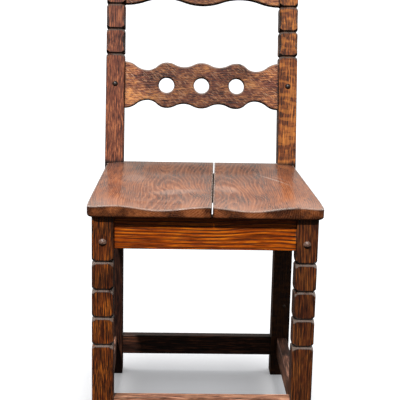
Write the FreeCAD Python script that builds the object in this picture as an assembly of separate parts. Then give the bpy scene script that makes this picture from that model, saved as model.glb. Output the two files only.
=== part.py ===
import FreeCAD, Part
import math
import os

V = FreeCAD.Vector
X = V(1, 0, 0)
Y = V(0, 1, 0)
Z = V(0, 0, 1)
ORIGIN = V(0, 0, 0)

# An old oak side chair, put together with mortise and tenon joints that are locked by oak pegs.
# It faces -Y. Left and right are the left and right of someone looking at its front.
# Every size is in millimetres.

# Driving dimensions of the frame
section = 38.0              # side of the square legs and posts
frame_width = 394.0         # over the outer faces of the legs, the same at the back
frame_depth = 374.0         # from the front legs' front faces to the back posts' front faces
seat_height = 463.0         # floor to the seat's high spots
seat_thickness = 25.0
post_above_seat = 430.0     # along the leaning posts, from the seat to their tops
recline_deg = 12.5          # lean of the back

# Square blocks parted by notches, on the front legs and the back posts
block_pitch = 51.0
notch_depth = 3.2           # each notch is a square-cut V, twice as tall as it is deep
pillow_radius = 31.6        # of the ball that the blocks' corners are worn down to
arris_round = 2.0           # wear on the long edges
end_round = 2.0             # rounding at the feet and at the posts' tops
front_blocks = 3
front_top_block = 82.0      # from the seat's underside down to the first notch
back_blocks = 2
back_plain = 223.0          # along the post, from the seat up to the first notch
scoop_depth = 3.2           # hollow cut in the upright edges of the back blocks

# Rails of the seat frame and the low stretchers
rail_thickness = 20.0
rail_set_back = 6.0         # from the outer faces of the legs
front_rail_set_back = 9.0   # the front seat rail lies deeper
rail_height = 59.5
rail_edge = 1.2
back_rail_set_back = 2.0    # the back seat rail stands nearly flush, so the seat rests on it
stretcher_height = 41.0
low_stretcher_top = 85.0    # side and back stretchers
front_stretcher_top = 103.0

# Mortises and tenons
tenon_thickness = 10.0
tenon_length = 26.0
tenon_shoulder = 5.0        # left at the rail's own edge beside each tenon
tenon_gap = 4.0             # between a rail's tenon and its neighbour's in the same leg
joint_clearance = 0.12      # all round a tenon
mortise_bottom = 0.5        # space at a tenon's end

# Back rails: the pierced splat rail and the crest rail
back_board = 20.0           # thickness
back_board_set_back = 9.0   # behind the posts' front faces
back_board_edge = 1.5
lobe_half = 46.5            # half the height at the lobes
splat_middle = 161.0        # along the post, from the seat
hole_diameter = 32.0
hole_spacing = 72.5
splat_end_half = 47.5
splat_deep_valley = 111.5
splat_deep_half = 30.5
splat_shallow_half = 37.5
crest_above_notch = 2.5     # its lower lobes over the last notch
crest_valley = 79.0
crest_valley_half = 32.5
back_tenon_height = 52.0

# Seat boards
seat_overhang_front = 11.0
seat_overhang_side = 9.5    # past the front legs' outer faces
seat_inset_back = 5.0       # inside the back posts' outer faces
seat_corner = 22.0
seat_tongue = 10.0          # the part between the posts that lies on the back rail
seat_fit = 0.2              # between the boards and the posts
seat_lower_round = 4.0
seat_upper_round = 2.5
split_front = 11.0          # the parted joint runs aslant, right of the middle
split_back = 27.5
split_width = 1.9

# Hollow of the seat: two scoops with a raised middle at the front
scoop_deep = 7.6
scoop_middle = 80.0
scoop_rim = 158.0
scoop_back_start = 285.0
scoop_back_end = 366.0
pommel_share = 0.9
pommel_end = 200.0
side_fall = 4.5
front_fall = 2.0            # all along the front edge
front_fall_start = 70.0

# Pegs
peg_shank = 8.0
peg_head = 14.0
peg_head_rise = 3.6
peg_length = 30.0
front_peg_drop = 3.0        # below the middle of the apron's tenon
back_peg_head = 11.5
peg_fit = 0.06
flush_peg = 7.0
side_peg_length = 23.0
nail_head = 7.0
nail_rise = 2.0
nail_shank = 3.0
nail_length = 24.0
nail_height = 156.0
nail_inset = 13.0           # from the post's outer face

# Corner blocks under the seat, and the screws that hold them and the seat
corner_block_side = 58.0
corner_block_height = 34.0
corner_block_nose = 8.0
rail_screw_share = 0.75     # of a block's side, from the corner
seat_screw_share = 0.4
screw_bite = 16.0           # of a block's wood under a rail screw's head
screw_shank = 4.5
screw_head = 8.5
screw_head_height = 2.6
rail_screw_length = 30.0
seat_screw_length = 44.0
slot_width = 1.0
slot_depth = 1.1
screw_fit = 0.05

# Working values
near = 1e-6                 # two places closer than this are the same

# Worked out from the above
half = frame_width/2
recline = math.radians(recline_deg)
seat_under = seat_height - seat_thickness
back_reach = math.sin(recline)*(post_above_seat - end_round) + math.cos(recline)*(section - end_round)
overall_depth = seat_overhang_front + frame_depth + back_reach + end_round
front = seat_overhang_front - overall_depth/2
back = front + frame_depth
inner = half - section
seat_half_front = half + seat_overhang_side
seat_half_back = half - seat_inset_back
rail_under = seat_under - rail_height
first_front_notch = seat_under - front_top_block
last_front_notch = first_front_notch - front_blocks*block_pitch
last_back_notch = back_plain + back_blocks*block_pitch
crest_middle = last_back_notch + crest_above_notch + lobe_half


def box(x0, x1, y0, y1, z0, z1):
    return Part.makeBox(x1 - x0, y1 - y0, z1 - z0, V(x0, y0, z0))


def cylinder(radius, length, start, direction):
    return Part.makeCylinder(radius, length, start, direction)


def edges_along(shape, direction):
    # straight edges that run along the direction
    found = []
    for edge in shape.Edges:
        if len(edge.Vertexes) == 2:
            run = edge.Vertexes[1].Point - edge.Vertexes[0].Point
            if run.Length > near and abs(run.cross(direction).Length/run.Length) < near:
                found.append(edge)
    return found


def level_edges(shape, height):
    return [edge for edge in shape.Edges
            if abs(edge.BoundBox.ZMin - height) < near and abs(edge.BoundBox.ZMax - height) < near]


def square(x, y, half_side, z):
    corners = [V(x + sx*half_side, y + sy*half_side, z) for sx, sy in ((-1, -1), (1, -1), (1, 1), (-1, 1))]
    return Part.makePolygon(corners + [corners[0]])


def notch_end(x0, y0, z, into):
    # what a notch takes from the end of a block: all that lies outside a four-sided spire and a ball
    # that stand in the block; into is 1 at the block's upper end and -1 at its lower end
    x = x0 + section/2
    y = y0 + section/2
    start = z - into*block_pitch/2
    narrow = section/2 - notch_depth
    spire = Part.makeLoft([square(x, y, narrow + block_pitch/2, start), square(x, y, narrow, z)], True, True)
    ball = Part.makeSphere(pillow_radius, V(x, y, start))
    slab = box(x - section, x + section, y - section, y + section, min(start, z), max(start, z))
    return slab.cut(spire.common(ball))


def block(x0, y0, z0, z1, low_round=0, high_round=0):
    # a square length of leg; an end without a rounding lies at a notch
    body = box(x0, x0 + section, y0, y0 + section, z0, z1)
    body = body.makeFillet(arris_round, edges_along(body, Z))
    for z, rounding, into in ((z0, low_round, -1), (z1, high_round, 1)):
        if rounding:
            body = body.makeFillet(rounding, level_edges(body, z))
        else:
            body = body.cut(notch_end(x0, y0, z, into))
    return body


def lean(shape):
    # from upright over the back posts' front faces to the lean of the back
    turned = shape.copy()
    turned.rotate(V(0, back, seat_height), X, -recline_deg)
    return turned


def along_back(up, behind):
    # y and z of a point that lies so far up the leaning post and so far behind its front face
    y = back + math.sin(recline)*up + math.cos(recline)*behind
    z = seat_height + math.cos(recline)*up - math.sin(recline)*behind
    return y, z


def mirror(shape):
    return shape.mirror(ORIGIN, X)


def fuse(parts):
    return parts[0].fuse(parts[1:]).removeSplitter()


def one(shape):
    return shape.Solids[0] if len(shape.Solids) == 1 else shape


# Frame pieces meet in the legs. A tenon is a box in the chair's frame; its mortise is the same
# box with the clearance added, and its end space.

rail_cheek = (rail_thickness - tenon_thickness)/2
front_rail_y = front + front_rail_set_back
front_stretcher_y = front + rail_set_back
back_rail_y = back + back_rail_set_back
back_stretcher_y = back + rail_set_back
side_rail_x = half - rail_set_back - rail_thickness
rail_middle = rail_under + rail_height/2
low_stretcher_under = low_stretcher_top - stretcher_height
low_stretcher_middle = low_stretcher_top - stretcher_height/2
front_stretcher_under = front_stretcher_top - stretcher_height


def cross_tenon(y0, z0, z1):
    # right-hand tenon of a rail that runs across the chair
    y = y0 + rail_cheek
    return [inner, inner + tenon_length, y, y + tenon_thickness, z0, z1]


def side_tenons(z0, z1):
    # front and back tenons of a rail that runs from front to back on the right
    x = side_rail_x + rail_cheek
    front_one = [x, x + tenon_thickness, front + section - tenon_length, front + section, z0, z1]
    back_one = [x, x + tenon_thickness, back, back + tenon_length, z0, z1]
    return front_one, back_one


def mortise(tenon, mouth):
    # mouth is 0 for a tenon that enters along X, 1 for -Y and 2 for +Y
    x0, x1, y0, y1, z0, z1 = tenon
    c = joint_clearance
    if mouth == 0:
        return box(x0 - c, x1 + mortise_bottom, y0 - c, y1 + c, z0 - c, z1 + c)
    if mouth == 1:
        return box(x0 - c, x1 + c, y0 - mortise_bottom, y1 + c, z0 - c, z1 + c)
    return box(x0 - c, x1 + c, y0 - c, y1 + mortise_bottom, z0 - c, z1 + c)


# Cross tenons take the lower part of the seat rails and side tenons the upper part
front_rail_tenon = cross_tenon(front_rail_y, rail_under + tenon_shoulder, rail_middle - tenon_gap/2)
back_rail_tenon = cross_tenon(back_rail_y, rail_under + tenon_shoulder, rail_middle - tenon_gap/2)
side_rail_tenons = side_tenons(rail_middle + tenon_gap/2, seat_under - tenon_shoulder)

# Low down the side tenons lie underneath
side_stretcher_tenons = side_tenons(low_stretcher_under + tenon_gap, low_stretcher_middle - tenon_gap/2)
back_stretcher_tenon = cross_tenon(back_stretcher_y, low_stretcher_middle + tenon_gap/2,
                                   low_stretcher_top - tenon_gap)
front_stretcher_tenon = cross_tenon(front_stretcher_y, low_stretcher_middle + tenon_gap/2,
                                    front_stretcher_top - tenon_shoulder)


def middle(tenon):
    x0, x1, y0, y1, z0, z1 = tenon
    return V((x0 + x1)/2, (y0 + y1)/2, (z0 + z1)/2)


# Front legs: plain foot, three blocks, and a long block at the seat frame

leg_x = inner
leg = [block(leg_x, front, 0, last_front_notch, low_round=end_round)]
for i in range(front_blocks):
    z0 = last_front_notch + i*block_pitch
    leg.append(block(leg_x, front, z0, z0 + block_pitch))
leg.append(block(leg_x, front, first_front_notch, seat_under, high_round=arris_round))
front_leg = fuse(leg)
for tenon, mouth in ((front_rail_tenon, 0), (side_rail_tenons[0], 1),
                     (front_stretcher_tenon, 0), (side_stretcher_tenons[0], 1)):
    front_leg = front_leg.cut(mortise(tenon, mouth))

# Back posts: sawn from one board, upright below the seat and leaning above it


def post_profile(top):
    # side outline from the floor to a height along the leaning part
    knee = section*math.tan(recline/2)
    top_front = along_back(top, 0)
    top_back = along_back(top, section)
    points = [(back, 0), (back, seat_height), top_front, top_back,
              (back + section, seat_height - knee), (back + section, 0)]
    return [V(inner, y, z) for y, z in points]


def leaning_block(s0, s1, high_round=0):
    return lean(block(inner, back, seat_height + s0, seat_height + s1, high_round=high_round))


def arris_scoops(s0, s1):
    # hollows in the four upright edges of a block, cut by a large cylinder across each corner
    reach = (s1 - s0)/2 - notch_depth
    radius = (reach*reach + scoop_depth*scoop_depth)/(2*scoop_depth)
    cutters = []
    for sx in (-1, 1):
        for sy in (-1, 1):
            out = V(sx, sy, 0).normalize()
            side = V(-sy, sx, 0).normalize()
            corner = V(inner + section*(1 + sx)/2, back + section*(1 + sy)/2, seat_height + (s0 + s1)/2)
            start = corner + out*(radius - scoop_depth) - side*section/2
            cutters.append(lean(cylinder(radius, section, start, side)))
    return cutters


post_axis = V(0, math.sin(recline), math.cos(recline))
profile = post_profile(back_plain)
plain = Part.Face(Part.makePolygon(profile + profile[:1])).extrude(X*section)
plain = plain.makeFillet(arris_round, edges_along(plain, Z) + edges_along(plain, post_axis))
plain = plain.makeFillet(end_round, level_edges(plain, 0))
post = [plain.cut(lean(notch_end(inner, back, seat_height + back_plain, 1)))]
for i in range(back_blocks):
    s0 = back_plain + i*block_pitch
    piece = leaning_block(s0, s0 + block_pitch)
    post.append(piece.cut(arris_scoops(s0, s0 + block_pitch)))
post.append(leaning_block(last_back_notch, post_above_seat, end_round))
back_post = fuse(post)
for tenon, mouth in ((back_rail_tenon, 0), (side_rail_tenons[1], 2),
                     (back_stretcher_tenon, 0), (side_stretcher_tenons[1], 2)):
    back_post = back_post.cut(mortise(tenon, mouth))

# Seat rails and stretchers with their tenons


def rail(x0, x1, y0, y1, z0, z1, run, tenons):
    body = box(x0, x1, y0, y1, z0, z1)
    body = body.makeFillet(rail_edge, edges_along(body, run))
    return fuse([body] + [box(*tenon) for tenon in tenons])


def both_sides(tenon):
    x0, x1, y0, y1, z0, z1 = tenon
    return [tenon, [-x1, -x0, y0, y1, z0, z1]]


front_rail = rail(-inner, inner, front_rail_y, front_rail_y + rail_thickness, rail_under, seat_under,
                  X, both_sides(front_rail_tenon))
back_rail = rail(-inner, inner, back_rail_y, back_rail_y + rail_thickness, rail_under, seat_under,
                 X, both_sides(back_rail_tenon))
side_rail = rail(side_rail_x, side_rail_x + rail_thickness, front + section, back, rail_under, seat_under,
                 Y, side_rail_tenons)
front_stretcher = rail(-inner, inner, front_stretcher_y, front_stretcher_y + rail_thickness,
                       front_stretcher_under, front_stretcher_top, X, both_sides(front_stretcher_tenon))
back_stretcher = rail(-inner, inner, back_stretcher_y, back_stretcher_y + rail_thickness,
                      low_stretcher_under, low_stretcher_top, X, both_sides(back_stretcher_tenon))
side_stretcher = rail(side_rail_x, side_rail_x + rail_thickness, front + section, back,
                      low_stretcher_under, low_stretcher_top, Y, side_stretcher_tenons)

# Back rails: boards with wavy edges. A wave is a chain of equal arcs between level turning points.


def wave(turns, y):
    # edges through turning points (x, z), each step an S of two equal arcs
    edges = []
    for (x0, z0), (x1, z1) in zip(turns, turns[1:]):
        run = x1 - x0
        rise = z1 - z0
        mid = V((x0 + x1)/2, y, (z0 + z1)/2)
        radius = (run*run + rise*rise)/(4*abs(rise))
        half_turn = math.asin(abs(run)/2/radius)/2
        step = math.copysign(radius*math.sin(half_turn), run)
        drop = math.copysign(radius*(1 - math.cos(half_turn)), rise)
        first = V(x0 + step, y, z0 + drop)
        second = V(x1 - step, y, z1 - drop)
        edges.append(Part.Arc(V(x0, y, z0), first, mid).toShape())
        edges.append(Part.Arc(mid, second, V(x1, y, z1)).toShape())
    return edges


def wavy_board(half_turns, up):
    # half_turns: (x, half height) from the middle outwards; the last one lies inside the post
    row = [(-x, h) for x, h in reversed(half_turns[1:])] + half_turns
    y = back + back_board_set_back
    zm = seat_height + up
    upper = wave([(x, zm + h) for x, h in row], y)
    lower = wave([(x, zm - h) for x, h in reversed(row)], y)
    end_x = row[-1][0]
    end_h = row[-1][1]
    right_end = Part.makeLine(V(end_x, y, zm + end_h), V(end_x, y, zm - end_h))
    left_end = Part.makeLine(V(-end_x, y, zm - end_h), V(-end_x, y, zm + end_h))
    outline = Part.Wire(upper + [right_end] + lower + [left_end])
    board = Part.Face(outline).extrude(Y*back_board)
    tenon_y = y + (back_board - tenon_thickness)/2
    tenons = [box(-inner - tenon_length, inner + tenon_length, tenon_y, tenon_y + tenon_thickness,
                  zm - back_tenon_height/2, zm + back_tenon_height/2)]
    return fuse([board] + tenons)


def rounded_face_edges(board):
    # the edges of the front and back faces along the waves
    y0 = back + back_board_set_back
    picked = []
    for edge in board.Edges:
        bounds = edge.BoundBox
        on_face = abs(bounds.YMin - y0) < near or abs(bounds.YMin - y0 - back_board) < near
        if bounds.YLength < near and on_face and edge.Curve.TypeId == "Part::GeomCircle":
            picked.append(edge)
    return picked


def back_mortise(up):
    y = back + back_board_set_back + (back_board - tenon_thickness)/2
    c = joint_clearance
    z = seat_height + up
    return lean(box(inner - c, inner + tenon_length + mortise_bottom, y - c, y + tenon_thickness + c,
                    z - back_tenon_height/2 - c, z + back_tenon_height/2 + c))


splat_turns = [(0, lobe_half), (hole_spacing/2, splat_shallow_half), (hole_spacing, lobe_half),
               (splat_deep_valley, splat_deep_half), (inner, splat_end_half)]
splat = wavy_board(splat_turns, splat_middle)
for i in (-1, 0, 1):
    centre = V(i*hole_spacing, back, seat_height + splat_middle)
    splat = splat.cut(cylinder(hole_diameter/2, section, centre, Y))
splat = splat.makeFillet(back_board_edge, rounded_face_edges(splat))

crest_turns = [(0, lobe_half), (crest_valley, crest_valley_half), (inner, lobe_half)]
crest = wavy_board(crest_turns, crest_middle)
crest = crest.makeFillet(back_board_edge, rounded_face_edges(crest))

for up in (splat_middle, crest_middle):
    back_post = back_post.cut(back_mortise(up))
splat = lean(splat)
crest = lean(crest)

# Seat: two boards with a parted joint between them, hollowed together


def seat_outline():
    y_front = front - seat_overhang_front
    y_back = back - seat_fit
    y_tongue = back + seat_tongue
    x_tongue = inner - seat_fit
    side = V(seat_half_back - seat_half_front, y_back - y_front, 0).normalize()
    corner = V(seat_half_front, y_front, 0)
    turn = math.acos(side.dot(X))
    setback = seat_corner/math.tan(turn/2)
    on_front = corner - X*setback
    on_side = corner + side*setback
    centre = on_front + Y*seat_corner
    bulge = centre + (corner - centre).normalize()*seat_corner
    right = [Part.makeLine(V(0, y_front, 0), on_front),
             Part.Arc(on_front, bulge, on_side).toShape(),
             Part.makeLine(on_side, V(seat_half_back, y_back, 0)),
             Part.makeLine(V(seat_half_back, y_back, 0), V(x_tongue, y_back, 0)),
             Part.makeLine(V(x_tongue, y_back, 0), V(x_tongue, y_tongue, 0)),
             Part.makeLine(V(x_tongue, y_tongue, 0), V(0, y_tongue, 0))]
    left = [mirror(edge) for edge in right]
    return Part.Wire(Part.sortEdges(right + left)[0])


def ease(t):
    t = min(1.0, max(0.0, t))
    return t*t*(3 - 2*t)


def hollow(x, y):
    # depth of the carved surface under the seat's high spots; y counts from the legs' front faces
    u = abs(x)
    back_fade = 1 - ease((y - scoop_back_start)/(scoop_back_end - scoop_back_start))
    ridge = pommel_share*(1 - ease((y + seat_overhang_front)/pommel_end))
    if u > scoop_middle:
        across = ease((scoop_rim - u)/(scoop_rim - scoop_middle))
    else:
        across = 1 - ridge*(1 - ease(u/scoop_middle))
    outer = max(0.0, u - scoop_rim)/(seat_half_front - scoop_rim)
    forward = 1 - ease((y + seat_overhang_front)/front_fall_start)
    return scoop_deep*across*back_fade + side_fall*outer*outer + front_fall*forward


across_count = 31
along_count = 23
reach_x = seat_half_front + section/2
reach_y0 = -seat_overhang_front - section/2
reach_y1 = frame_depth + section
points = []
for i in range(across_count):
    x = -reach_x + 2*reach_x*i/(across_count - 1)
    row = []
    for j in range(along_count):
        y = reach_y0 + (reach_y1 - reach_y0)*j/(along_count - 1)
        row.append(V(x, front + y, seat_height - hollow(x, y)))
    points.append(row)
carved = Part.BSplineSurface()
carved.interpolate(points)
carving = carved.toShape().extrude(Z*(seat_thickness*2))

# The blank is thicker than the seat, so that the carved surface makes the whole of its top
blank = Part.Face(seat_outline()).extrude(Z*seat_thickness*3/2)
blank.translate(Z*seat_under)
low_edges = [edge for edge in level_edges(blank, seat_under)
             if edge.BoundBox.YMax < back - seat_fit*2 or abs(edge.CenterOfMass.x) > inner + section/2]
low_edges = [edge for edge in low_edges if edge.BoundBox.YLength > 0 or edge.BoundBox.YMax < back - section]
blank = blank.makeFillet(seat_lower_round, low_edges)
seat = blank.cut(carving)


def split_side(sign):
    # everything on one side of the parted joint
    half_split = sign*split_width/2
    y0 = front - seat_overhang_front
    y1 = back + seat_tongue
    slope = (split_back - split_front)/frame_depth
    x0 = split_front - slope*seat_overhang_front + half_split
    x1 = split_back + slope*seat_tongue + half_split
    far = sign*frame_width
    corners = [V(x0, y0, 0), V(x1, y1, 0), V(x1 + slope*section, y1 + section, 0),
               V(far, y1 + section, 0), V(far, y0 - section, 0), V(x0 - slope*section, y0 - section, 0)]
    return Part.Face(Part.makePolygon(corners + [corners[0]])).extrude(Z*seat_height*2)


def upper_edges(board):
    # the arris that runs round the front and sides of the carved top
    picked = []
    for edge in board.Edges:
        bounds = edge.BoundBox
        high = bounds.ZMin > seat_height - scoop_deep - side_fall - front_fall
        at_front = bounds.YMax < front
        at_side = abs(edge.CenterOfMass.x) > seat_half_back - seat_corner
        if high and edge.Length > seat_corner and (at_front or at_side):
            picked.append(edge)
    return picked


seat = seat.makeFillet(seat_upper_round, upper_edges(seat))
seat_left = seat.common(split_side(-1))
seat_right = seat.common(split_side(1))

# Pegs. A peg is a straight oak pin; the ones that show have a domed head outside the leg.


def peg_pin(start, direction, shank, length, head=0, rise=0):
    pin = cylinder(shank/2, length, start, direction)
    if not head:
        return pin
    ball = (head*head/4 + rise*rise)/(2*rise)
    centre = start + direction*(ball - rise)
    dome = Part.makeSphere(ball, centre)
    keep = cylinder(head, ball*2, start - direction*ball*2, direction)
    return pin.fuse(dome.common(keep)).removeSplitter()


def bore(shape, start, direction, diameter, length, clearance):
    hole = cylinder(diameter/2 + clearance, length, start, direction)
    return shape.cut(hole)


def on_front_leg(tenon):
    spot = middle(tenon)
    return V(inner + section/2, front, spot.z)


def on_back_post(tenon):
    spot = middle(tenon)
    return V(inner + section/2, back + section, spot.z)


def pair(shape):
    return Part.makeCompound([shape, mirror(shape)])


groups = {}
peg_hole = peg_length + mortise_bottom
front_peg_at = on_front_leg(front_rail_tenon) - Z*front_peg_drop
for name, at in (("front_rail_pegs", front_peg_at), ("front_stretcher_pegs", on_front_leg(front_stretcher_tenon))):
    pin = peg_pin(at, Y, peg_shank, peg_length, peg_head, peg_head_rise)
    groups[name] = pair(pin)
    front_leg = bore(front_leg, at, Y, peg_shank, peg_hole, peg_fit)
    front_rail = front_rail.cut(pair(cylinder(peg_shank/2 + peg_fit, peg_hole, at, Y)))
    front_stretcher = front_stretcher.cut(pair(cylinder(peg_shank/2 + peg_fit, peg_hole, at, Y)))

for name, tenon in (("back_rail_pegs", back_rail_tenon), ("back_stretcher_pegs", back_stretcher_tenon)):
    at = on_back_post(tenon)
    pin = peg_pin(at, -Y, flush_peg, peg_length)
    groups[name] = pair(pin)
    hole = cylinder(flush_peg/2 + peg_fit, peg_hole, at, -Y)
    back_post = back_post.cut(hole)
    back_rail = back_rail.cut(pair(hole))
    back_stretcher = back_stretcher.cut(pair(hole))

for name, tenons in (("side_rail_pegs", side_rail_tenons), ("side_stretcher_pegs", side_stretcher_tenons)):
    pins = []
    for tenon in tenons:
        spot = middle(tenon)
        at = V(half, spot.y, spot.z)
        pins.append(cylinder(flush_peg/2, side_peg_length, at, -X))
        hole = cylinder(flush_peg/2 + peg_fit, side_peg_length + mortise_bottom, at, -X)
        front_leg = front_leg.cut(hole)
        back_post = back_post.cut(hole)
        side_rail = side_rail.cut(hole)
        side_stretcher = side_stretcher.cut(hole)
    groups[name] = Part.makeCompound(pins + [mirror(pin) for pin in pins])

for name, up in (("splat_pegs", splat_middle), ("crest_pegs", crest_middle)):
    at = V(inner + section/2, back, seat_height + up)
    pin = lean(peg_pin(at, Y, peg_shank, peg_length, back_peg_head, peg_head_rise))
    groups[name] = pair(pin)
    hole = lean(cylinder(peg_shank/2 + peg_fit, peg_hole, at, Y))
    back_post = back_post.cut(hole)
    splat = splat.cut(pair(hole))
    crest = crest.cut(pair(hole))

# An old nail stands out of the right back post, just above the side stretcher
nail_at = V(half - nail_inset, back, nail_height)
nail = peg_pin(nail_at, Y, nail_shank, nail_length, nail_head, nail_rise)
back_post_right = back_post.cut(cylinder(nail_shank/2 + peg_fit, nail_length + mortise_bottom, nail_at, Y))
back_post_left = mirror(back_post)

# Corner blocks: three-cornered blocks in the angles of the seat frame, cut round the legs


def corner_block(y_wall, into):
    # into is 1 behind the front rail and -1 in front of the back rail
    x_wall = side_rail_x
    x0 = x_wall - corner_block_side
    y1 = y_wall + into*corner_block_side
    corners = [V(x_wall, y_wall, 0), V(x0, y_wall, 0), V(x0, y_wall + into*corner_block_nose, 0),
               V(x_wall - corner_block_nose, y1, 0), V(x_wall, y1, 0)]
    body = Part.Face(Part.makePolygon(corners + [corners[0]])).extrude(Z*corner_block_height)
    body.translate(Z*(seat_under - corner_block_height))
    y0 = front if into > 0 else back
    keep_off = box(inner - joint_clearance, half, y0 - joint_clearance, y0 + section + joint_clearance,
                   rail_under, seat_height)
    return body.cut(keep_off)


def wood_screw(start, direction, length, flat):
    # round shank with a point, a countersunk head, and a slot across the head
    shank = cylinder(screw_shank/2, length - screw_shank*1.5, start, direction)
    point = Part.makeCone(screw_shank/2, screw_shank/8, screw_shank*1.5,
                          start + direction*(length - screw_shank*1.5), direction)
    head = Part.makeCone(screw_head/2, screw_shank/2, screw_head_height, start, direction)
    body = fuse([shank, point, head])
    across = direction.cross(flat)
    corner = start - flat*screw_head - across*(slot_width/2)
    slot = Part.Face(Part.makePolygon([corner, corner + flat*screw_head*2,
                                       corner + flat*screw_head*2 + across*slot_width,
                                       corner + across*slot_width, corner])).extrude(direction*slot_depth)
    return body.cut(slot)


def screw_hole(start, direction, length):
    shank = cylinder(screw_shank/2 + screw_fit, length + screw_fit, start, direction)
    head = Part.makeCone(screw_head/2 + screw_fit, screw_shank/2 + screw_fit, screw_head_height,
                         start, direction)
    return shank.fuse(head)


front_wall = front_rail_y + rail_thickness
back_wall = back_rail_y
blocks = {1: corner_block(front_wall, 1), -1: corner_block(back_wall, -1)}
screw_z = seat_under - corner_block_height/2
rail_screws = []
seat_screws = []
for into, wall in ((1, front_wall), (-1, back_wall)):
    far = corner_block_side*rail_screw_share
    near_by = corner_block_side*seat_screw_share
    at_rail = V(side_rail_x - far, wall + into*screw_bite, screw_z)
    at_side = V(side_rail_x - screw_bite, wall + into*far, screw_z)
    at_seat = V(side_rail_x - near_by, wall + into*near_by, seat_under - corner_block_height)
    for at, direction in ((at_rail, V(0, -into, 0)), (at_side, X)):
        rail_screws.append(wood_screw(at, direction, rail_screw_length, Z))
        hole = screw_hole(at, direction, rail_screw_length)
        way_in = cylinder(screw_head/2 + screw_fit, corner_block_side, at, direction*-1)
        blocks[into] = blocks[into].cut([hole, way_in])
        front_rail = front_rail.cut(pair(hole))
        back_rail = back_rail.cut(pair(hole))
        side_rail = side_rail.cut(hole)
    seat_screws.append(wood_screw(at_seat, Z, seat_screw_length, X))
    hole = screw_hole(at_seat, Z, seat_screw_length)
    blocks[into] = blocks[into].cut(hole)
    seat_right = seat_right.cut(hole)
    seat_left = seat_left.cut(mirror(hole))

groups["corner_block_screws"] = Part.makeCompound(rail_screws + [mirror(s) for s in rail_screws])
groups["seat_screws"] = Part.makeCompound(seat_screws + [mirror(s) for s in seat_screws])

nodes = {
    "front_leg_right": front_leg,
    "front_leg_left": mirror(front_leg),
    "back_post_right": back_post_right,
    "back_post_left": back_post_left,
    "front_seat_rail": front_rail,
    "back_seat_rail": back_rail,
    "side_seat_rail_right": side_rail,
    "side_seat_rail_left": mirror(side_rail),
    "front_stretcher": front_stretcher,
    "back_stretcher": back_stretcher,
    "side_stretcher_right": side_stretcher,
    "side_stretcher_left": mirror(side_stretcher),
    "splat_rail": splat,
    "crest_rail": crest,
    "seat_board_left": seat_left,
    "seat_board_right": seat_right,
    "corner_block_front_right": blocks[1],
    "corner_block_front_left": mirror(blocks[1]),
    "corner_block_back_right": blocks[-1],
    "corner_block_back_left": mirror(blocks[-1]),
    "post_nail": nail,
}
nodes.update(groups)

os.makedirs("parts", exist_ok=True)
for name, shape in nodes.items():
    shape = one(shape)
    shape.exportStep("parts/" + name + ".step")
    bounds = shape.BoundBox
    print(name, shape.isValid(), len(shape.Solids), round(shape.Volume/1000, 2), "cm3",
          [round(v, 1) for v in (bounds.XMin, bounds.XMax, bounds.YMin, bounds.YMax, bounds.ZMin, bounds.ZMax)])
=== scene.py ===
import math

import bpy
from mathutils import Euler, Matrix, Vector

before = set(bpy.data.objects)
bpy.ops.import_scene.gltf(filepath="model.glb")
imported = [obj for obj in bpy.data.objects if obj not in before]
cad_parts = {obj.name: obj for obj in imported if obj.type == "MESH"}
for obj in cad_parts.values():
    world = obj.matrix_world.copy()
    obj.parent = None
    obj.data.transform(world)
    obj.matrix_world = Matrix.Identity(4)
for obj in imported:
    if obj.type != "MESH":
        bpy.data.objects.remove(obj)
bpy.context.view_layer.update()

bpy.context.scene.view_settings.view_transform = "Standard"

# Front legs
# Two square oak legs, sawn straight and notched by hand into three blocks under a long
# mortised one. The notches get painted shade in their corners and on faces that look down, and
# their upper edges are rubbed pale and carry a painted highlight.

LEG_TONES = ((38, 17, 8), (96, 48, 18), (172, 92, 26))        # the wood's dark, middle and light
DARK_LEG_TONES = ((36, 17, 8), (80, 41, 19), (132, 74, 30))
LEG_PORE = (20, 11, 7)
# the pale of rubbed oak, also the colour of painted highlights on faces that look up
OAK_PALE_WEAR_AND_HIGHLIGHT = (106, 93, 84)
# near-black of soot, also the colour of painted shade
SOOT_AND_SHADE = (6, 4, 4)
FRONT = (0, -1, 0)

# the oak's own figure: how wide its patches are, in metres
PATCH = 0.045
CLOUD = 0.022
RUBBED_SPOT = 0.014
RAY = 0.0022
CURL_WAVE = 0.0085
FINE_SHARE = 0.4                # the finest streaks, beside the plain ones

# and how it is drawn out: across the board, through it and along its grain
DRIFT = (11, 11, 4)
DRIFT_DETAIL = 1.5
TRUNK = (1, 1, 0.04)
PATCH_DRAWN = (1, 1, 0.45)
CLOUD_DRAWN = (1, 1, 0.5)
RAY_DRAWN = (1.0, 0.5, 0.2)
CURL_DRAWN = (0.35, 0.35, 1)
NOT_DRAWN = (1, 1, 1)

# Where each mark of the wood sets in, and where it is full
MOTTLE_MIDDLE = 0.5
EARLY_WOOD_STARTS = (0.0, 0.12)     # in shares of a ring
EARLY_WOOD_ENDS = (0.16, 0.6)
MIDDLE_TONE = (-0.2, 0.0)
LIGHT_TONE = (0.0, 0.2)
STREAK_DEPTH = 1.9
CLOUDED = (0.42, 0.6)
STRONG_LINE = (0.35, 0.6)
WEAK_LINE_SHARE = 0.55
PORE_LEVEL = 0.61
PORE_EARLY = 0.08
PORE = (0.0, 0.06)
PORE_DEPTH = 0.8
RAY_LIGHT = (0.54, 0.66)
RAY_PALE = (0.6, 0.66)
RAY_DARK = (0.46, 0.38)
CURL_LIGHT = (0.5, 0.62)
CURL_DARK = (0.48, 0.36)
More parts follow.
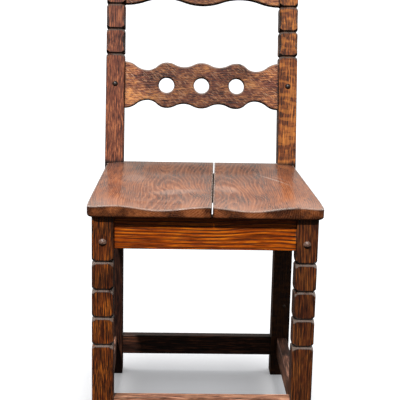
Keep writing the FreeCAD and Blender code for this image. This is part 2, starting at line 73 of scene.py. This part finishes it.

# Where dirt and painted shade lie, and where hands rub and painted highlights fall: how open a
# place is, how far its face looks up, and how far its rounded edge turns, the last two as a
# cosine
# corners that little open air reaches, and faces that look down, get painted shade
CORNER = (0.7, 0.25)
CORNER_SHADE = 0.6
LOOKS_DOWN = (-0.12, -0.34)
UNDER_SHADE = 0.93
NARROW_FACE = (0.96, 0.75)
THIRSTY_SPOT = (0.6, 0.4)
LEAST_THIRST = 0.4
# the dark rim along a rounded edge is partly stain and partly painted shade
RIM_TURN = (0.996, 0.94)
WORN_TURN = (0.985, 0.9)
WORN_SPOT = (0.42, 0.62)
# faces that look up are rubbed pale and carry a painted highlight
TOP_RUB_AND_HIGHLIGHT_RISE = 0.25
TOP_RUB_AND_HIGHLIGHT_SPOT = (0.3, 0.5)
TOP_RUB_AND_HIGHLIGHT_STOP = 0.06
FADED_FACE = (0.3, 0.6)
MARK_RIM = (1.0, 0.4)
MARK_BREAK = (0.35, 0.5)
MARK_THINNEST = 0.3
MARK_REACH = 100                # a mark goes right through the board

# The skin of oil: how dull it is, and how far the figure stands out of it, as a share and in
# metres
DULL_STREAK = 0.25
DULL_PORE = 0.2
DULL_PATCH = 0.2
DULL_USUAL = 0.22
RAISED_STREAK = 0.35
SUNK_PORE = 0.6
SUNK_LINE = 0.3
RAISED_RUB = 0.25
WOOD_BUMP = (0.5, 0.0006)
COAT_BUMP = (0.25, 0.0005)
COAT_CLOUD = (0.35, 0.62)
COAT_THINNEST = 0.75
COAT_DULL = 0.07


def stain(shade):
    # a colour as the eye names it, 0 to 255, as light
    light = [((c/255 + 0.055)/1.055)**2.4 if c > 10 else c/255/12.92 for c in shade]
    return (*light, 1.0)


def add(tree, kind, inputs, out=0, **settings):
    # one node; each input is a fixed value or what another node gives
    node = tree.nodes.new("ShaderNode" + kind)
    for name, value in settings.items():
        setattr(node, name, value)
    for place, value in inputs.items():
        if isinstance(value, bpy.types.NodeSocket):
            tree.links.new(value, node.inputs[place])
        else:
            node.inputs[place].default_value = value
    return node.outputs[out]


def reckon(tree, how, first, second=0.0):
    return add(tree, "Math", {0: first, 1: second}, operation=how)


def times(tree, first, second):
    return reckon(tree, "MULTIPLY", first, second)


def greater(tree, first, second):
    return reckon(tree, "MAXIMUM", first, second)


def agree(tree, first, second):
    # how far two directions agree, as the cosine between them
    return add(tree, "VectorMath", {0: first, 1: second}, out="Value", operation="DOT_PRODUCT")


def step_up(tree, value, low, high, start=0.0, end=1.0):
    # a smooth rise from start to end while the value goes from low to high
    return add(tree, "MapRange", {"Value": value, "From Min": low, "From Max": high,
                                  "To Min": start, "To Max": end},
               interpolation_type="SMOOTHSTEP")


def mix(tree, share, under, over, how="MIX"):
    return add(tree, "Mix", {0: share, 6: under, 7: over}, out=2, data_type="RGBA",
               blend_type=how)


def mottle(tree, place, drawn, size, detail=2.0, rough=0.5):
    # uneven patches of about the given size in metres, drawn out along the grain
    place = add(tree, "VectorMath", {0: place, 1: drawn}, operation="MULTIPLY")
    return add(tree, "TexNoise", {"Vector": place, "Scale": 1/size, "Detail": detail,
                                  "Roughness": rough})


def bump(tree, height, strength, distance):
    return add(tree, "Bump", {"Height": height, "Strength": strength, "Distance": distance},
               out="Normal")


def grow(tree, board, wander, ring):
    # the wandering grain of a board, and the soft early wood of its rings
    drift = add(tree, "VectorMath", {0: board, 1: DRIFT}, operation="MULTIPLY")
    drift = add(tree, "TexNoise", {"Vector": drift, "Scale": 1.0, "Detail": DRIFT_DETAIL},
                out="Color")
    drift = add(tree, "VectorMath", {0: drift, 1: (MOTTLE_MIDDLE,)*3}, operation="SUBTRACT")
    drift = add(tree, "VectorMath", {0: drift, "Scale": wander}, operation="SCALE")
    wandering = add(tree, "VectorMath", {0: board, 1: drift}, operation="ADD")
    flat = add(tree, "VectorMath", {0: wandering, 1: TRUNK}, operation="MULTIPLY")
    radius = add(tree, "VectorMath", {0: flat}, out="Value", operation="LENGTH")
    rings = reckon(tree, "FRACT", reckon(tree, "DIVIDE", radius, ring))
    early = times(tree, step_up(tree, rings, *EARLY_WOOD_STARTS),
                  step_up(tree, rings, *EARLY_WOOD_ENDS, 1.0, 0.0))
    return wandering, early


def oak(name, tones, pore, grain=(0, 0, 0), heart=(0.05, 0.06, 0), ring=0.0045, lines=0.6,
        wander=0.02, streak=0.0026, length=0.06, contrast=0.7, blotch=0.5,
        tint=(0.82, 0.74, 0.76), rays=0.0, ray_turn=0.0, curl=0.0, polish=0.0, gloss=0.42,
        shine=0.28, wear=0.6, pale_wear_and_highlight=OAK_PALE_WEAR_AND_HIGHLIGHT, arris=0.0025, top_rub_and_highlight=0.0, top_rub_and_highlight_from=0.3,
        top_rub_and_highlight_limit=2.0, rim=0.0, sides=0.0, face=FRONT, shade_reach=0.01, way=(0, 0, 1), grime_and_shade=0.0,
        grime_and_shade_from=0.46, grime_and_shade_to=0.42, fade=0.0, fade_from=0.0, fade_to=1.0, marks=()):
    # oiled oak. grain turns the board so that its grain runs along Z, and heart is where the
    # tree's middle lies beside it, so that the rings cross each face as they were sawn
    material = bpy.data.materials.new(name)
    material.use_nodes = True
    tree = material.node_tree
    shader = tree.nodes["Principled BSDF"]
    where = add(tree, "TexCoord", {}, out="Object")
    normal = add(tree, "NewGeometry", {}, out="Normal")
    board = add(tree, "Mapping", {"Vector": where, "Rotation": grain, "Location": heart},
                vector_type="POINT")
    wandering, early = grow(tree, board, wander, ring)

    streaks = mottle(tree, wandering, (1, 1, length), streak, detail=4.0, rough=0.62)
    fine = mottle(tree, board, (1, 1, length), streak*FINE_SHARE, rough=0.6)
    patches = mottle(tree, board, PATCH_DRAWN, PATCH, detail=4.0, rough=0.6)
    clouds = mottle(tree, wandering, CLOUD_DRAWN, CLOUD, detail=3.0, rough=0.6)

    # three tones of wood, from the streaks and patches, darker under the clouds
    streaky = times(tree, reckon(tree, "SUBTRACT", streaks, MOTTLE_MIDDLE), STREAK_DEPTH*contrast)
    patchy = times(tree, reckon(tree, "SUBTRACT", patches, MOTTLE_MIDDLE), blotch)
    depth = reckon(tree, "ADD", streaky, patchy)
    dark, middle, light = (stain(tone) for tone in tones)
    ground = mix(tree, step_up(tree, depth, *MIDDLE_TONE), dark, middle)
    ground = mix(tree, step_up(tree, depth, *LIGHT_TONE), ground, light)
    ground = mix(tree, step_up(tree, clouds, *CLOUDED), ground, (*tint, 1), how="MULTIPLY")

    # lines of early wood, and open pores that crowd in them
    strength = step_up(tree, patches, *STRONG_LINE, WEAK_LINE_SHARE*lines, lines)
    ground = mix(tree, times(tree, early, strength), ground, stain(pore))
    threshold = reckon(tree, "SUBTRACT", PORE_LEVEL, times(tree, early, PORE_EARLY))
    pores = step_up(tree, reckon(tree, "SUBTRACT", fine, threshold), *PORE,
                    0.0, contrast*PORE_DEPTH)
    ground = mix(tree, pores, ground, stain(pore))

    if rays:
        slant = add(tree, "Mapping", {"Vector": board, "Rotation": (0, ray_turn, 0)},
                    vector_type="POINT")
        flecks = mottle(tree, slant, RAY_DRAWN, RAY, rough=0.6)
        ground = mix(tree, step_up(tree, flecks, *RAY_LIGHT, 0.0, rays), ground, light)
        ground = mix(tree, step_up(tree, flecks, *RAY_PALE, 0.0, rays), ground, stain(pale_wear_and_highlight))
        ground = mix(tree, step_up(tree, flecks, *RAY_DARK, 0.0, rays), ground, dark)

    if curl:
        waves = mottle(tree, wandering, CURL_DRAWN, CURL_WAVE, detail=1.5)
        ground = mix(tree, step_up(tree, waves, *CURL_LIGHT, 0.0, curl), ground, light)
        ground = mix(tree, step_up(tree, waves, *CURL_DARK, 0.0, curl), ground, dark)

    # painted shade lies in the corners and on faces that look down; a dark rim along rounded
    # edges is partly stain and partly painted shade; far along the given way the wood darkens, as
    # painted shadow on the posts and the seat and as grime on the back boards; and narrow faces
    # drink more stain than the board's broad ones
    along = reckon(tree, "ABSOLUTE", agree(tree, where, way))
    broad = reckon(tree, "ABSOLUTE", agree(tree, normal, face))
    open_air = add(tree, "AmbientOcclusion", {"Distance": shade_reach}, out="AO", samples=8)
    rounded = add(tree, "Bevel", {"Radius": arris}, samples=6)
    level = add(tree, "SeparateXYZ", {0: rounded}, out="Z")
    turn = agree(tree, normal, rounded)
    dirt_and_shade = step_up(tree, open_air, *CORNER, 0.0, CORNER_SHADE)
    dirt_and_shade = greater(tree, dirt_and_shade, step_up(tree, level, *LOOKS_DOWN, 0.0, UNDER_SHADE))
    thirsty = times(tree, step_up(tree, broad, *NARROW_FACE, 0.0, sides),
                    step_up(tree, patches, *THIRSTY_SPOT, LEAST_THIRST, 1.0))
    dirt_and_shade = greater(tree, dirt_and_shade, thirsty)
    # a dark rim along rounded edges: partly stain, partly painted shade
    stain_and_shade_rim = step_up(tree, turn, *RIM_TURN, 0.0, rim)
    dirt_and_shade = greater(tree, dirt_and_shade, stain_and_shade_rim)
    dirt_and_shade = greater(tree, dirt_and_shade, step_up(tree, along, grime_and_shade_from, grime_and_shade_to, 0.0, grime_and_shade))
    ground = mix(tree, dirt_and_shade, ground, stain(SOOT_AND_SHADE))

    # hands and clothes have rubbed the edges and faded the tops, and faces that look up are
    # rubbed pale and carry a painted highlight
    rub = mottle(tree, where, NOT_DRAWN, RUBBED_SPOT, detail=4.0, rough=0.65)
    edge = times(tree, step_up(tree, turn, *WORN_TURN), step_up(tree, rub, *WORN_SPOT, 0.0, wear))
    upward_rub_and_highlight = times(tree, step_up(tree, level, top_rub_and_highlight_from, top_rub_and_highlight_from + TOP_RUB_AND_HIGHLIGHT_RISE),
                   step_up(tree, rub, *TOP_RUB_AND_HIGHLIGHT_SPOT, 0.0, top_rub_and_highlight))
    upward_rub_and_highlight = times(tree, upward_rub_and_highlight, step_up(tree, level, top_rub_and_highlight_limit, top_rub_and_highlight_limit - TOP_RUB_AND_HIGHLIGHT_STOP))
    faded = times(tree, step_up(tree, level, *FADED_FACE),
                  step_up(tree, along, fade_from, fade_to, 0.0, fade))
    rubbed_and_highlit = greater(tree, greater(tree, edge, upward_rub_and_highlight), faded)
    ground = mix(tree, rubbed_and_highlit, ground, stain(pale_wear_and_highlight))

    for x, y, turned, half_length, half_width, strength in marks:
        # a scratch or a rubbed patch on the top, each an oval with a soft rim
        near = add(tree, "Mapping", {"Vector": where, "Location": (x, y, 0),
                                     "Rotation": (0, 0, turned),
                                     "Scale": (half_length, half_width, MARK_REACH)},
                   vector_type="TEXTURE")
        off = add(tree, "VectorMath", {0: near}, out="Value", operation="LENGTH")
        broken = step_up(tree, streaks, *MARK_BREAK, MARK_THINNEST*strength, strength)
        ground = mix(tree, times(tree, step_up(tree, off, *MARK_RIM), broken), ground,
                     stain(pale_wear_and_highlight))

    tree.links.new(ground, shader.inputs["Base Color"])
    dull = reckon(tree, "ADD", times(tree, streaks, DULL_STREAK), times(tree, pores, DULL_PORE))
    dull = reckon(tree, "ADD", dull, times(tree, patches, DULL_PATCH))
    tree.links.new(reckon(tree, "ADD", dull, gloss - DULL_USUAL), shader.inputs["Roughness"])
    height = reckon(tree, "SUBTRACT", times(tree, streaks, RAISED_STREAK),
                    times(tree, pores, SUNK_PORE))
    height = reckon(tree, "SUBTRACT", height, times(tree, early, SUNK_LINE))
    height = reckon(tree, "ADD", height, times(tree, rub, RAISED_RUB))
    tree.links.new(bump(tree, height, *WOOD_BUMP), shader.inputs["Normal"])
    if polish:
        tree.links.new(bump(tree, height, *COAT_BUMP), shader.inputs["Coat Normal"])
        coat = step_up(tree, clouds, *COAT_CLOUD, polish, polish*COAT_THINNEST)
        tree.links.new(reckon(tree, "SUBTRACT", coat, stain_and_shade_rim), shader.inputs["Coat Weight"])
        shader.inputs["Coat Roughness"].default_value = COAT_DULL
    shader.inputs["Specular IOR Level"].default_value = shine
    return material


def finish_with(material, *names):
    for name in names:
        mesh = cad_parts[name].data
        mesh.materials.clear()
        mesh.materials.append(material)


# the legs get painted shade in the notches and along their rims, and a painted highlight on upper
# edges
leg_finish = dict(streak=0.0014, length=0.035, contrast=0.9, blotch=0.7, tint=(0.76, 0.64, 0.74),
                  arris=0.0035, sides=0.5, top_rub_and_highlight=0.85, top_rub_and_highlight_from=0.42, rim=0.6)
finish_with(oak("leg_oak_left", LEG_TONES, LEG_PORE, heart=(0.238, 0.267, 0.3), ring=0.0036,
                **leg_finish), "front_leg_left")
finish_with(oak("leg_oak_right", DARK_LEG_TONES, LEG_PORE, heart=(-0.118, 0.267, 0.9),
                ring=0.0034, **leg_finish), "front_leg_right")

# Back posts
# Each is sawn from one wide board, upright below the seat and leaning above it, so its
# straight grain runs out through the leaning part. The right one came from curly wood.

POST_TONES = ((54, 27, 22), (122, 66, 44), (176, 106, 66))
CURLY_TONES = ((58, 30, 16), (136, 74, 33), (200, 124, 54))
POST_PORE = (40, 22, 17)
POST_GRAIN = (math.radians(6), 0, 0)        # between the upright and the leaning part
RAKE = math.radians(12.5)
LEANING = (0, -math.cos(RAKE), math.sin(RAKE))

# below the seat the posts are darkened: painted shadow of the seat
post_finish = dict(grain=POST_GRAIN, ring=0.004, sides=0.9, face=LEANING, rim=0.7, top_rub_and_highlight=0.6,
                   grime_and_shade=0.86, grime_and_shade_from=0.47, grime_and_shade_to=0.462)
finish_with(oak("post_oak_left", POST_TONES, POST_PORE, heart=(0.24, -0.1, 0), **post_finish),
            "back_post_left")
finish_with(oak("post_oak_right", CURLY_TONES, POST_PORE, heart=(-0.12, -0.12, 0.4), curl=0.36,
                **post_finish), "back_post_right")

# Seat rails
# Four oak rails tenoned into the legs. The front one, the apron, has a warm orange
# polish and shows its rings as dark lines along its length, with painted shadow of the seat along
# its top.

APRON_TONES = ((96, 38, 3), (172, 76, 5), (226, 122, 14))
APRON_PORE = (36, 12, 2)
# dark tones for the rails under the seat: painted shade
UNDER_SEAT_SHADED_TONES = ((26, 14, 10), (62, 33, 20), (96, 56, 34))
QUARTER = math.radians(90)
SIDEWAYS = (0, QUARTER, 0)                  # the grain runs from left to right
BACKWARD = (QUARTER, 0, 0)                  # the grain runs from front to back

# a longer reach of painted shade darkens the apron's top: painted shadow of the seat's overhang
finish_with(oak("apron_oak", APRON_TONES, APRON_PORE, grain=SIDEWAYS, heart=(-0.318, 0.307, 0),
                ring=0.0052, lines=1.0, streak=0.0022, length=0.03, rim=0.4, shade_reach=0.022),
            "front_seat_rail")
finish_with(oak("cross_rail_oak", UNDER_SEAT_SHADED_TONES, LEG_PORE, grain=SIDEWAYS), "back_seat_rail")
finish_with(oak("side_rail_oak", UNDER_SEAT_SHADED_TONES, LEG_PORE, grain=BACKWARD),
            "side_seat_rail_left", "side_seat_rail_right")

# Stretchers
# Low oak rails, tenoned and pegged between the legs, the side ones darkened by floor polish and
# soot.
# The back one has dark tones for the shade under the seat. The front one has pale tones, partly
# rubbed bare by shoes and partly painted sheen.

# the back stretcher's dark tones are painted shade; the front one's pale tones are partly rubbed
# wood and partly painted sheen
BACK_STRETCHER_SHADED_TONES = ((20, 11, 8), (52, 29, 20), (100, 60, 40))
SIDE_TONES = ((40, 25, 18), (100, 66, 50), (166, 120, 96))
FOOT_RAIL_RUBBED_AND_SHEEN_TONES = ((80, 48, 34), (170, 116, 86), (234, 178, 144))

finish_with(oak("foot_rail_oak", FOOT_RAIL_RUBBED_AND_SHEEN_TONES, LEG_PORE, grain=SIDEWAYS), "front_stretcher")
finish_with(oak("back_stretcher_oak", BACK_STRETCHER_SHADED_TONES, LEG_PORE, grain=SIDEWAYS),
            "back_stretcher")
finish_with(oak("side_stretcher_oak", SIDE_TONES, LEG_PORE, grain=BACKWARD),
            "side_stretcher_left", "side_stretcher_right")

# Splat rail and crest rail
# Oak boards sawn to wavy edges, tenoned between the posts. They were cut on the quarter, so
# short pale rays fleck the faces.

BACK_TONES = ((60, 32, 28), (150, 90, 58), (226, 154, 88))
BACK_PORE = (42, 23, 20)
BACK_PALE_WEAR_AND_HIGHLIGHT = (158, 140, 128)

# the upper arrises are rubbed pale and carry a painted highlight, and the dark rims round the
# holes are partly stain and partly painted shade
finish_with(oak("back_board_oak", BACK_TONES, BACK_PORE, grain=SIDEWAYS, heart=(0.2, 0.02, 0),
                lines=0.15, wander=0.04, length=0.14, streak=0.002, contrast=0.6, blotch=0.8,
                tint=(0.62, 0.52, 0.7), rays=0.5, ray_turn=math.radians(-38), sides=0.9,
                face=LEANING, rim=0.9, wear=0.0, top_rub_and_highlight=0.9, top_rub_and_highlight_limit=0.97, arris=0.006,
                way=(1, 0, 0), grime_and_shade=0.4, grime_and_shade_from=0.15, grime_and_shade_to=0.09, pale_wear_and_highlight=BACK_PALE_WEAR_AND_HIGHLIGHT),
            "splat_rail", "crest_rail")

# Seat boards
# Two thick oak boards hollowed together, with the glue joint between them parted. Their grain
# runs from front to back, and sitting has given them a deep polish.

SEAT_TONES = ((92, 44, 24), (144, 74, 32), (182, 106, 54))
SEAT_PORE = (222, 150, 108)
SEAT_PALE_WEAR_AND_HIGHLIGHT = (214, 192, 178)

# each mark's place from left to right and front to back, its turn, half its length, half its
# width, and its strength
LEFT_MARKS = ((-0.05, -0.12, 0.3, 0.06, 0.03, 0.25),
              (-0.13, -0.02, -0.2, 0.025, 0.05, 0.15))
RIGHT_MARKS = ((0.1415, -0.0345, -1.17, 0.078, 0.0026, 0.5),
               (0.15, -0.022, -1.12, 0.05, 0.0016, 0.3),
               (0.118, 0.02, -1.2, 0.04, 0.0013, 0.25),
               (0.04, -0.09, 0.5, 0.03, 0.045, 0.2))

# the seat darkens towards the back as painted shade of the hollow's rear slope, and its front
# arris carries a painted highlight above a line of painted shade
seat_finish = dict(grain=BACKWARD, ring=0.0033, lines=0.3, wander=0.05, streak=0.0024,
                   length=0.02, blotch=1.0, contrast=0.6, tint=(0.72, 0.66, 0.7), polish=1.0,
                   gloss=0.3, shine=0.1, wear=0.0, pale_wear_and_highlight=SEAT_PALE_WEAR_AND_HIGHLIGHT, arris=0.008, rim=1.0,
                   top_rub_and_highlight=0.8, top_rub_and_highlight_from=0.5, top_rub_and_highlight_limit=0.88, sides=0.72, face=(0, 0, 1),
                   way=(0, 1, 1), grime_and_shade=0.5, grime_and_shade_from=0.37, grime_and_shade_to=0.56,
                   fade=0.2, fade_from=0.29, fade_to=0.22)
finish_with(oak("seat_oak_left", SEAT_TONES, SEAT_PORE, heart=(0.055, 0.5, 0.12),
                marks=LEFT_MARKS, **seat_finish), "seat_board_left")
finish_with(oak("seat_oak_right", SEAT_TONES, SEAT_PORE, heart=(-0.05, 0.5, 0.12),
                marks=RIGHT_MARKS, **seat_finish), "seat_board_right")

# Pegs
# Oak pins, shaved round and driven through the joints to lock them. Those that show stand
# proud, with domed heads gone grey on the legs and nearly black on the posts.

PEG_TONES = ((60, 43, 34), (108, 80, 66), (150, 118, 100))
OLD_PEG_TONES = ((16, 11, 9), (34, 23, 18), (62, 45, 36))

# a short reach of painted shade darkens a ring round each peg's head
peg_finish = dict(grain=BACKWARD, contrast=0.4, shade_reach=0.004, gloss=0.3, shine=0.5)
finish_with(oak("peg_oak", PEG_TONES, LEG_PORE, lines=0.3, wear=0.3, **peg_finish),
            "front_rail_pegs", "front_stretcher_pegs", "back_rail_pegs", "back_stretcher_pegs",
            "side_rail_pegs", "side_stretcher_pegs")
finish_with(oak("dark_peg_oak", OLD_PEG_TONES, LEG_PORE, wear=0.2, **peg_finish),
            "splat_pegs", "crest_pegs")

# Corner blocks
# Three-cornered blocks sawn from plain oak and left dry, screwed into the angles of the seat
# rails, where no one sees them.

BLOCK_TONES = ((84, 58, 36), (134, 98, 64), (166, 128, 88))

finish_with(oak("block_oak", BLOCK_TONES, POST_PORE, grain=(0, QUARTER, math.radians(45)),
                gloss=0.6),
            "corner_block_front_right", "corner_block_front_left",
            "corner_block_back_right", "corner_block_back_left")

# Screws and nail
# Slotted steel screws hold the corner blocks and the seat. An old wrought nail stands out
# of the right post.

STEEL = (150, 146, 140)
IRON = (92, 84, 80)
STEEL_RUST = (96, 62, 42)
IRON_RUST = (70, 44, 32)
RUSTED = (0.45, 0.62)
DULLED = (0.4, 0.65)
EATEN = (0.45, 0.65)
RUST_DULL = 0.85
RUST_SHEEN = 0.2
METAL_BUMP = (0.5, 0.0003)


def metal(name, shade, rust, rough, spot):
    material = bpy.data.materials.new(name)
    material.use_nodes = True
    tree = material.node_tree
    shader = tree.nodes["Principled BSDF"]
    where = add(tree, "TexCoord", {}, out="Object")
    spots = mottle(tree, where, NOT_DRAWN, spot, detail=4.0, rough=0.65)
    colour = mix(tree, step_up(tree, spots, *RUSTED), stain(shade), stain(rust))
    tree.links.new(colour, shader.inputs["Base Color"])
    dull = step_up(tree, spots, *DULLED, rough, RUST_DULL)
    tree.links.new(dull, shader.inputs["Roughness"])
    tree.links.new(step_up(tree, spots, *EATEN, 1.0, RUST_SHEEN), shader.inputs["Metallic"])
    tree.links.new(bump(tree, spots, *METAL_BUMP), shader.inputs["Normal"])
    return material


finish_with(metal("screw_steel", STEEL, STEEL_RUST, rough=0.32, spot=0.002),
            "corner_block_screws", "seat_screws")
finish_with(metal("nail_iron", IRON, IRON_RUST, rough=0.5, spot=0.0015), "post_nail")

# Floor
# A plain white floor, large enough to reach the horizon. It glows a little, so that it stays
# white under the soft shadow, and it sends no light back at the chair.

FLOOR_HALF = 40.0
FLOOR_WHITE = (0.9, 0.9, 0.9, 1)
FLOOR_DULL = 0.9
WHITE = (1, 1, 1, 1)
FLOOR_GLOW = 0.19

bpy.ops.mesh.primitive_plane_add(size=FLOOR_HALF*2, location=(0, 0, 0))
floor = bpy.context.active_object
floor.name = "floor"
floor_paint = bpy.data.materials.new("floor_paint")
floor_paint.use_nodes = True
floor_shader = floor_paint.node_tree.nodes["Principled BSDF"]
floor_shader.inputs["Base Color"].default_value = FLOOR_WHITE
floor_shader.inputs["Roughness"].default_value = FLOOR_DULL
floor_shader.inputs["Specular IOR Level"].default_value = 0.0
floor_shader.inputs["Emission Color"].default_value = WHITE
floor_shader.inputs["Emission Strength"].default_value = FLOOR_GLOW
floor.data.materials.append(floor_paint)
floor.visible_diffuse = False
floor.visible_glossy = False

# Studio light
# A small bright key from high in front, a little to the left, and two weak fills from behind,
# under a pale ceiling. The floor has a broad light of its own from above.

HORIZON = (0.1, 0.1, 0.105, 1)
OVERHEAD = (0.7, 0.72, 0.76, 1)
BELOW = (0.02, 0.018, 0.016, 1)
WALLS = (0.42, 0.39, 0.36, 1)       # what the polish mirrors
FLOOR_LINE = (-0.02, 0.02)          # each edge in the room, as how far it looks up
CEILING_EDGE = (0.15, 0.9)
MIRRORED_LINE = (-0.2, -0.08)
TOP_STRENGTH = 2.2
TOP_SPREAD = math.radians(24)
TOP_HEIGHT = math.radians(88)
KEY_STRENGTH = 4.1
KEY_SPREAD = math.radians(2)
KEY_HEIGHT = math.radians(48)
KEY_SIDE = math.radians(-13)
FILL_STRENGTH = 1.3
FILL_SPREAD = math.radians(30)
FILL_HEIGHT = math.radians(14)
FILL_SIDE = math.radians(125)

room = bpy.data.worlds.new("room")
room.use_nodes = True
tree = room.node_tree
skyward = add(tree, "SeparateXYZ", {0: add(tree, "TexCoord", {}, out="Generated")}, out="Z")
wash = mix(tree, step_up(tree, skyward, *FLOOR_LINE), BELOW, HORIZON)
wash = mix(tree, step_up(tree, skyward, *CEILING_EDGE), wash, OVERHEAD)
mirrored = mix(tree, step_up(tree, skyward, *MIRRORED_LINE), BELOW, WALLS)
wash = mix(tree, add(tree, "LightPath", {}, out="Is Glossy Ray"), wash, mirrored)
wash = mix(tree, add(tree, "LightPath", {}, out="Is Camera Ray"), wash, WHITE)
tree.links.new(wash, tree.nodes["Background"].inputs["Color"])
bpy.context.scene.world = room


def lamp(name, strength, spread, high, aside):
    data = bpy.data.lights.new(name, "SUN")
    data.energy = strength
    data.angle = spread
    piece = bpy.data.objects.new(name, data)
    piece.rotation_euler = Euler((math.pi/2 - high, 0, aside))
    bpy.context.scene.collection.objects.link(piece)
    return piece


def shine_on(group, lights, pieces):
    # these lights reach these pieces alone
    lit = bpy.data.collections.new(group)
    bpy.context.scene.collection.children.link(lit)
    for piece in pieces:
        lit.objects.link(piece)
    for light in lights:
        light.light_linking.receiver_collection = lit


top_light = lamp("top_light", TOP_STRENGTH, TOP_SPREAD, TOP_HEIGHT, 0)
key_light = lamp("key_light", KEY_STRENGTH, KEY_SPREAD, KEY_HEIGHT, KEY_SIDE)
fill_left = lamp("fill_left", FILL_STRENGTH, FILL_SPREAD, FILL_HEIGHT, -FILL_SIDE)
fill_right = lamp("fill_right", FILL_STRENGTH, FILL_SPREAD, FILL_HEIGHT, FILL_SIDE)
shine_on("chair_only", (key_light, fill_left, fill_right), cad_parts.values())
shine_on("floor_only", (top_light,), (floor,))

# Camera
# Stands two metres off, a little to the left, at the height of a seated person's eyes, and
# looks down at the seat.

LENS = 96.844
FILM_WIDTH = 36
EYE = (-0.0633, -2.0511, 0.8779)
YAW = math.radians(1.6728)
PITCH = math.radians(12.7393)
ROLL = math.radians(1.1787)

ahead = Vector((math.sin(YAW)*math.cos(PITCH), math.cos(YAW)*math.cos(PITCH), -math.sin(PITCH)))
level = Vector((math.cos(YAW), -math.sin(YAW), 0))
upright = level.cross(ahead)
right = math.cos(ROLL)*level + math.sin(ROLL)*upright
above = math.cos(ROLL)*upright - math.sin(ROLL)*level
camera_data = bpy.data.cameras.new("camera")
camera_data.lens = LENS
camera_data.sensor_width = FILM_WIDTH
camera = bpy.data.objects.new("camera", camera_data)
stand = Matrix((right, above, -ahead)).transposed().to_4x4()
stand.translation = EYE
camera.matrix_world = stand
bpy.context.scene.collection.objects.link(camera)
bpy.context.scene.camera = camera
